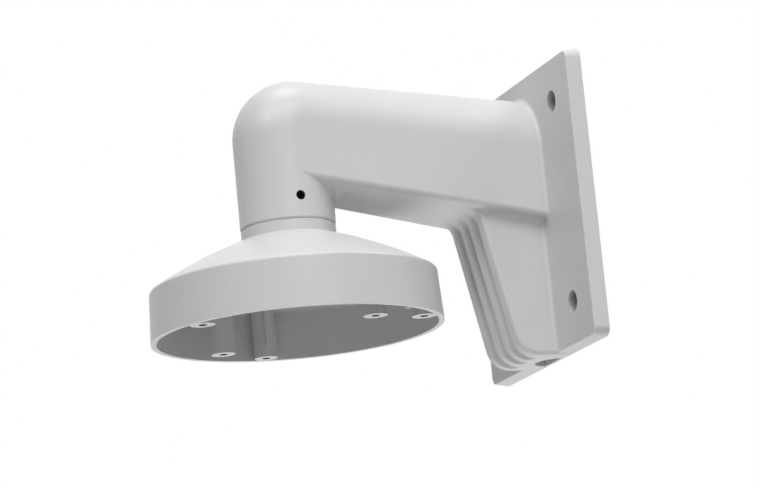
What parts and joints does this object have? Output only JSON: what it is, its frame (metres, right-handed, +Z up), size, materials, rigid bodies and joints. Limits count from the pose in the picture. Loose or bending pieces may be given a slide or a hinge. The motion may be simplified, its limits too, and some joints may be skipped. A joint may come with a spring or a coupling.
{
  "type": "camera wall bracket",
  "caption": "Wall bracket for a dome camera: a square plate carries a hollow, braced arm whose down-turned collar holds a round domed cap with screw bosses inside.",
  "frame": {"origin": "centre of the wall plate's back face, midway between the wall screw holes", "axes": "+Y into the wall, -Y out along the arm into the room, +Z up, +X sideways along the wall, on the lock screw's side"},
  "size_m": [0.12, 0.1722, 0.1208],
  "materials": {
    "coated_casting": "fine-grained satin powder coat, light grey, on cast aluminium",
    "black_steel": "black oxide"
  },
  "bodies": {
    "root": {"wall_arm": "coated_casting", "camera_cap": "coated_casting", "lock_screw": "black_steel"}
  },
  "joints": []
}
